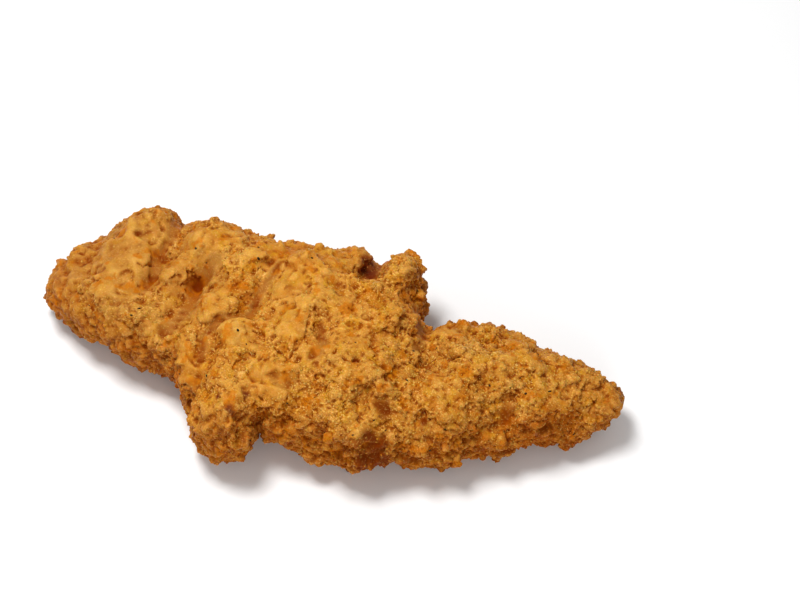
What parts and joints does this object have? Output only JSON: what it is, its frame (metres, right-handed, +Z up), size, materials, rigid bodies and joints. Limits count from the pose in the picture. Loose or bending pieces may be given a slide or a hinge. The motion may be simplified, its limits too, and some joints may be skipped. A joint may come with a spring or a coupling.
{
  "type": "chicken finger",
  "caption": "Breaded, deep-fried chicken finger: a flat strip of breast meat with a craggy golden-brown crust, broad towards one end and tapering to the other, resting flat.",
  "frame": {"origin": "under the middle of the strip's bounding box, on the surface that it rests on", "axes": "+X along the strip from its broad end to its tapered end, +Z up, the nicked front edge towards -Y"},
  "size_m": [0.1248, 0.0546, 0.0238],
  "materials": {
    "fried_crust": "matte, crumbly fried crust with a slight sheen of oil"
  },
  "bodies": {
    "root": {"chicken_finger": "fried_crust"}
  },
  "joints": []
}
